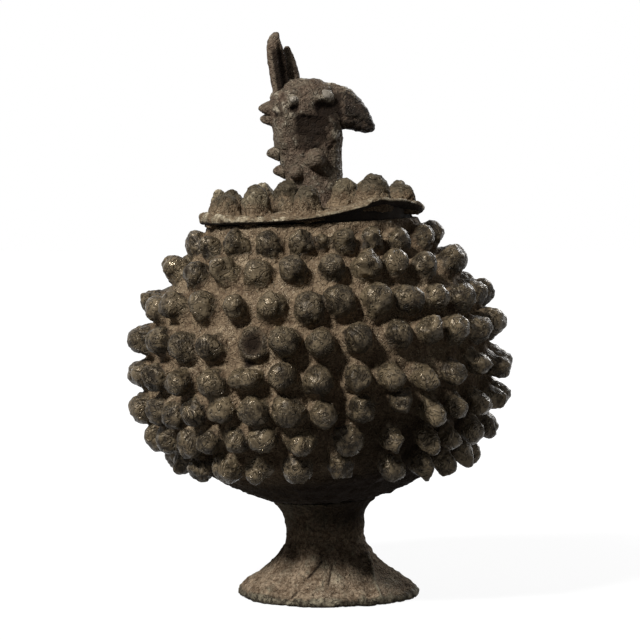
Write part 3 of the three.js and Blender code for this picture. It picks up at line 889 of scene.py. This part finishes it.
def modelBeak():
    rings = [(-(low + high) / 2, 0, forward, (high - low) / 2, half)
             for forward, low, high, half in bird["beak"]]
    beak = stackRings("bird_beak_cast", rings, 32)  # stood on end, then turned forward
    settle(beak, Vector((0, 0, 0)), Matrix.Rotation(math.radians(90), 4, "Y"))
    skin(beak, bird["voxel"])
    soften(beak, 3)
    for side in (-1, 1):
        for line, width, depth in bird["beakFolds"]:
            press(beak, line, width, depth, (0, side, 0))
    roughen(beak, bird["grain"])
    forward, height = pointsOf(beak)[:, 0] / mm, pointsOf(beak)[:, 2] / mm
    # painted shade at the beak's root, beside the eyes
    sootAndShade = 0.8 * (1 - ease(16.5, 22, forward)) * (1 - ease(58, 63, height))  # beside the eyes
    # upward faces paler and lower faces darker: partly a worn ridge, partly painted top light
    topWearAndLight = ease(0.45, 0.85, normalsOf(beak)[:, 2])
    finishSkin(beak, 0.3 + 0.3 * ease(16, 24, forward), 0.1 + 1.2 * topWearAndLight, sootAndShade)
    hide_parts("bird_beak")
    return beak


def modelPellets():
    made = []
    for name, (height, turn, scale, relief, pair) in bird["pellets"].items():
        for side, ending in ((1, "_right"), (-1, "_left")) if pair else ((1, ""),):
            point, direction = headSpot(height, turn * side)
            place = standing(point * mm, direction, chance.uniform(-3, 3), scale)
            pellet = copyOf(models["dome" if pair else "cone"], f"bird_{name}{ending}_cast", place)
            skin(pellet, bird["pelletVoxel"])
            soften(pellet, 2)
            roughen(pellet, bird["pelletGrain"])
            finishSkin(pellet, relief, 0.7)
            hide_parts(f"bird_{name}{ending}")
            made.append(pellet)
    return made


def ringsAside(rings, aside):
    return [(forward, aside, height, long, wide) for forward, height, long, wide in rings]


def modelFeathers():
    made = []
    for name, feather in bird["feathers"].items():
        aside = -feather["side"] * bird["crestSpacing"] / 2
        scoopAside = aside - feather["side"] * bird["scoopAside"]
        blade = stackRings(f"crest_feather_{name}_cast", ringsAside(feather["rings"], aside), 24)
        scoop = stackRings("scoop", ringsAside(feather["hollow"], scoopAside), 20)
        finishWith(blade, "BOOLEAN", operation="DIFFERENCE", object=scoop, solver="EXACT")
        bpy.data.objects.remove(scoop)
        skin(blade, bird["featherVoxel"])
        soften(blade, 2)
        roughen(blade, bird["featherGrain"])
        points, middle = pointsOf(blade) / mm, np.array(feather["rings"])
        ahead = points[:, 0] - np.interp(points[:, 2], middle[:, 1], middle[:, 0])
        # painted shade over the front of the right feather, and a little over all the left one
        frontShade = 0.85 * ease(-3.2, -1, ahead) * (1 - ease(82, 87, points[:, 2]))
        finishSkin(blade, 0.34, 0.7, frontShade if name == "right" else 0.2)
        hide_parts(f"crest_feather_{name}")
        made.append(blade)
    return made


plateCast = modelPlate()
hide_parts("lid_plate")
lidCasts = [plateCast, *modelLidKnobs()]
birdCasts = [modelHead(), modelBeak(), *modelPellets(), *modelFeathers()]
for piece in birdCasts:
    settle(piece, Vector((0, 0, bird["base"])) * mm)
for piece in lidCasts + birdCasts:
    settle(piece, lidSeat, lean)
print("lid and bird pieces:", len(lidCasts) + len(birdCasts))

for model in models.values():
    bpy.data.objects.remove(model)


# finishes

class Sock:  # one shader socket, so that maths on it reads as maths
    def __init__(self, tree, link=None):
        self.tree, self.link = tree, link

    def node(self, kind, settings=None, sockets=None, out=0):
        made = self.tree.nodes.new(kind)
        for key, value in (settings or {}).items():
            setattr(made, key, value)
        for key, value in (sockets or {}).items():
            if isinstance(value, Sock):
                self.tree.links.new(value.link, made.inputs[key])
            else:
                made.inputs[key].default_value = value
        return Sock(self.tree, made.outputs[out] if made.outputs else None)

    def maths(self, operation, *values):
        return self.node("ShaderNodeMath", {"operation": operation}, dict(enumerate(values)))

    def __add__(self, other):
        return self.maths("ADD", self, other)

    def __sub__(self, other):
        return self.maths("SUBTRACT", self, other)

    def __rsub__(self, other):
        return self.maths("SUBTRACT", other, self)

    def __mul__(self, other):
        return self.maths("MULTIPLY", self, other)

    __radd__ = __add__
    __rmul__ = __mul__

    def sway(self, much):  # how far it is off its middle, much or little of it
        return (self - 0.5) * much

    def rising(self, low, high):  # 0 below low, 1 above high
        return self.node("ShaderNodeMapRange", {"interpolation_type": "SMOOTHSTEP"},
                         {"Value": self, "From Min": low, "From Max": high})

    def tint(self, undersideShade, over):  # this value lays one colour over another
        return self.node("ShaderNodeMix", {"data_type": "RGBA"}, {0: self, 6: undersideShade, 7: over}, out=2)


def blankNodes(holder):  # a material or world with no nodes yet
    holder.use_nodes = True
    holder.node_tree.nodes.clear()
    return Sock(holder.node_tree)


def noise(paint, place, size, detail, roughness=0.55, **more):  # size of its features in mm
    sockets = {"Vector": place, "Scale": 1 / (size * mm), "Detail": detail, "Roughness": roughness}
    return paint.node("ShaderNodeTexNoise", {}, {**sockets, **more})


def cellsOf(paint, place, size, feature):
    sockets = {"Vector": place, "Scale": 1 / (size * mm)}
    return paint.node("ShaderNodeTexVoronoi", {"feature": feature}, sockets)


def surface(paint, sockets):
    shader = paint.node("ShaderNodeBsdfPrincipled", {}, sockets)
    paint.node("ShaderNodeOutputMaterial", {}, {"Surface": shader})


def rgb(red, green, blue):  # a screen colour, 0 to 255, as the shader counts it
    return [(((value / 255) + 0.055) / 1.055) ** 2.4 for value in (red, green, blue)] + [1]


patina = {
    "metalDark": rgb(33, 27, 19),
    "metalMid": rgb(74, 63, 46),
    "metalPale": rgb(136, 120, 95),
    "wear": 0.5,  # how much of the pale metal shows where it is worn
    "earthDark": rgb(82, 66, 50),
    "earthMid": rgb(136, 118, 94),
    "earthPale": rgb(184, 167, 140),
    "fleck": rgb(200, 192, 170),
    # colour of soot, and of the painted shade that the same attribute marks
    "sootAndShade": rgb(30, 22, 15),
    "bareFrom": 0.18,  # relief under which earth lies, and over which metal is bare
    "bareTo": 0.64,
    "metallic": 0.16,
    "specular": 0.12,  # low, because what it mirrors is white all round
    "shine": (0.1, 0.52),  # roughness of worn metal and of dull metal
    "bump": 1,
    "bumpDepth": 2,
    # sizes of what varies, in mm
    "sizes": {"broad": 26, "patch": 11, "fold": 10, "middle": 6, "crack": 3.6, "pit": 2.6, "fine": 1.7,
              "grit": 0.7},
}


def castFinish(name, **changes):
    look = {**patina, **changes}
    size = look["sizes"]
    material = bpy.data.materials.new(name)
    paint = blankNodes(material)
    place = paint.node("ShaderNodeTexCoord", out="Object")
    relief, hollow, tone, sootAndShade = (
        paint.node("ShaderNodeAttribute", {"attribute_name": read}, out="Fac")
        for read in ("relief", "hollow", "tone", "sootAndShade"))
    broad = noise(paint, place, size["broad"], 2)
    middle = noise(paint, place, size["middle"], 4)
    folds = noise(paint, place, size["fold"], 2, 0.5, Distortion=1.8)
    creases = paint.maths("PINGPONG", folds * 5, 0.5).rising(0, 0.2)
    fine = noise(paint, place, size["fine"], 4, 0.65)
    grit = noise(paint, place, size["grit"], 2)
    cracks = cellsOf(paint, place, size["crack"], "DISTANCE_TO_EDGE").rising(0, 0.12)
    pitted = cellsOf(paint, place, size["pit"], "F1").rising(0.12, 0.3)

    # where metal is bare and where it is worn
    bare = (relief + middle.sway(0.9) + broad.sway(0.35) - hollow.sway(0.5)).rising(
        look["bareFrom"], look["bareTo"])
    worn = ((0.5 - hollow) * 1.1 + fine.sway(0.8) + middle.sway(1.1) + tone.sway(0.4)).rising(0.25, 0.85)

    metal = (fine * 0.5 + middle * 0.5 + tone.sway(0.4) + broad.sway(0.3)).rising(0.3, 0.75).tint(
        look["metalDark"], look["metalMid"])
    metal = (worn * look["wear"]).tint(metal, look["metalPale"])
    earth = (fine * 0.6 + middle * 0.4).rising(0.36, 0.66).tint(look["earthDark"], look["earthMid"])
    earth = (grit * 0.5 + broad * 0.5).rising(0.52, 0.72).tint(earth, look["earthPale"])
    patches = noise(paint, place, size["patch"], 4, 0.6).rising(0.52, 0.66)
    earth = (patches * 0.55).tint(earth, look["earthDark"])
    colour = bare.tint(earth, metal)
    colour = ((1 - cracks) * (1 - bare) * 0.3).tint(colour, look["earthDark"])
    colour = ((1 - creases) * bare * 0.4).tint(colour, look["metalDark"])
    colour = ((1 - pitted) * 0.35).tint(colour, look["metalDark"])
    colour = (grit.rising(0.68, 0.76) * 0.7).tint(colour, look["fleck"])
    # soot on the broken knob, and painted shade in recesses, under the belly, under the lid and on the foot
    colour = (sootAndShade * (middle.sway(0.8) + 1)).rising(0.1, 0.9).tint(colour, look["sootAndShade"])

    smooth, dull = look["shine"]
    rough = (dull + (1 - bare) * 0.3) - worn * bare * (dull - smooth) + grit.sway(0.12) + sootAndShade * 0.25
    height = fine * (0.75 - bare * 0.62) + grit * (0.3 - bare * 0.25) + middle * 0.55
    height = height + creases * bare * 0.34 + cracks * (1 - bare) * 0.2 + pitted * 0.16
    bump = paint.node("ShaderNodeBump", {}, {
        "Height": height, "Strength": look["bump"], "Distance": look["bumpDepth"] * mm})
    surface(paint, {
        "Base Color": colour, "Roughness": rough, "Metallic": bare * look["metallic"], "Normal": bump,
        "Specular IOR Level": look["specular"]})
    return material


def plainFinish(name, dark, pale):  # for the ring that hides under the lid
    material = bpy.data.materials.new(name)
    paint = blankNodes(material)
    place = paint.node("ShaderNodeTexCoord", out="Object")
    fine = noise(paint, place, 2.4, 4, 0.65)
    broad = noise(paint, place, 14, 3)
    colour = (fine * 0.6 + broad * 0.4).rising(0.35, 0.65).tint(dark, pale)
    bump = paint.node("ShaderNodeBump", {}, {"Height": fine, "Strength": 0.7, "Distance": 0.8 * mm})
    surface(paint, {
        "Base Color": colour, "Roughness": fine * 0.3 + 0.6, "Normal": bump, "Specular IOR Level": 0.1})
    return material


bowlFinish = castFinish("bowlPatina")
footFinish = castFinish(
    "footPatina", metallic=0.08, shine=(0.6, 0.8),
    metalMid=rgb(132, 122, 102), metalPale=rgb(160, 150, 126),
    earthMid=rgb(166, 146, 122), earthPale=rgb(196, 178, 154))
lidFinish = castFinish(
    "lidPatina", metallic=0.12, shine=(0.4, 0.7), wear=0.75,
    metalDark=rgb(64, 56, 43), metalMid=rgb(118, 106, 84), metalPale=rgb(178, 166, 142))
birdFinish = castFinish(
    "birdPatina", metallic=0.12, wear=0.8,
    metalDark=rgb(34, 28, 22), metalMid=rgb(92, 82, 67), metalPale=rgb(178, 166, 146),
    earthDark=rgb(70, 56, 45), earthMid=rgb(128, 111, 94), earthPale=rgb(184, 168, 148))
# pale finish for the eye and ear pellets: painted highlight
highlightFinish = castFinish(
    "highlightPatina", bump=0.6,
    metalDark=rgb(100, 92, 80), metalMid=rgb(146, 138, 126), metalPale=rgb(182, 174, 162))
# the ring under the lid, painted near black as shade
flangeShadeFinish = plainFinish("flangeShadePaint", rgb(18, 15, 12), rgb(42, 35, 28))


def dress(piece, body, finish):
    piece.data.materials.clear()
    piece.data.materials.append(finish)
    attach(piece, body)


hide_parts("knobbed_bowl")
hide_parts("pedestal_foot")
dress(bowlCast, "vessel", bowlFinish)
dress(footCast, "vessel", footFinish)
for piece in lidCasts:
    dress(piece, "lid", lidFinish)
for piece in birdCasts:
    paleLit = piece.name.startswith(("bird_eye", "bird_ear"))
    dress(piece, "lid", highlightFinish if paleLit else birdFinish)
for holder in frame["nodes"]["lid_flange"].material_slots:
    holder.material = flangeShadeFinish
print("finishes done")


# studio, in metres

studio = {
    "lamps": {
        "key": {"place": (-0.95, -1.2, 1.5), "power": 64, "size": 0.3},
        "fill": {"place": (1.3, -1.0, 0.5), "power": 0.3, "size": 0.9},
        "back": {"place": (0.9, 1.5, 0.9), "power": 14, "size": 0.6},
    },
    "lampAim": (0, 0, 0.15),
    "worldGrey": 0.03,  # what lights the box; what the eye sees is white
    "floorSize": 12,
    "floorGrey": 0.1,
    "floorGlow": (0.9, 1),  # as the eye sees it, beside the box and away from it
    "floorReach": (0.2, 0.9),  # from the middle of the box
    "eye": (0.0002, -1.5, 0.229),
    "target": (0.0002, 0, 0.147),
    "lens": 158.8,
    "sensor": 36,
    "clip": (0.05, 50),
}


def aimAt(obj, target):
    obj.rotation_euler = (Vector(target) - Vector(obj.location)).to_track_quat("-Z", "Y").to_euler()


for name, lamp in studio["lamps"].items():
    pickNothing()
    bpy.ops.object.light_add(type="AREA", location=lamp["place"])
    light = bpy.context.object
    light.name = name
    light.data.energy, light.data.size = lamp["power"], lamp["size"]
    aimAt(light, studio["lampAim"])


def seenByEye(paint):  # 1 for what the camera, a mirror or glass sees
    camera, glossy, through = (
        paint.node("ShaderNodeLightPath", out=f"Is {ray} Ray")
        for ray in ("Camera", "Glossy", "Transmission"))
    return paint.maths("MAXIMUM", camera, paint.maths("MAXIMUM", glossy, through))


world = bpy.data.worlds.new("studioWorld")
bpy.context.scene.world = world
air = blankNodes(world)
glow = seenByEye(air) * (1 - studio["worldGrey"]) + studio["worldGrey"]
sky = air.node("ShaderNodeBackground", {}, {"Color": (1, 1, 1, 1), "Strength": glow})
air.node("ShaderNodeOutputWorld", {}, {"Surface": sky})

pickNothing()
bpy.ops.mesh.primitive_plane_add(size=studio["floorSize"], location=(0, 0, 0))
floor = bpy.context.object
floor.name = "studioFloor"
floorFinish = bpy.data.materials.new("paleFloor")
ground = blankNodes(floorFinish)
spot = ground.node("ShaderNodeTexCoord", out="Object")
distance = ground.node("ShaderNodeVectorMath", {"operation": "LENGTH"}, {0: spot}, out="Value")
nearGlow, farGlow = studio["floorGlow"]
floorGlow = distance.rising(*studio["floorReach"]) * (farGlow - nearGlow) + nearGlow
surface(ground, {
    "Base Color": (*[studio["floorGrey"]] * 3, 1), "Roughness": 0.9, "Specular IOR Level": 0.1,
    "Emission Color": (1, 1, 1, 1), "Emission Strength": seenByEye(ground) * floorGlow})
floor.data.materials.append(floorFinish)

pickNothing()
bpy.ops.object.camera_add(location=studio["eye"])
camera = bpy.context.object
aimAt(camera, studio["target"])
camera.data.lens, camera.data.sensor_width = studio["lens"], studio["sensor"]
camera.data.clip_start, camera.data.clip_end = studio["clip"]
bpy.context.scene.camera = camera
bpy.context.scene.view_settings.view_transform = "Standard"
print("studio done")
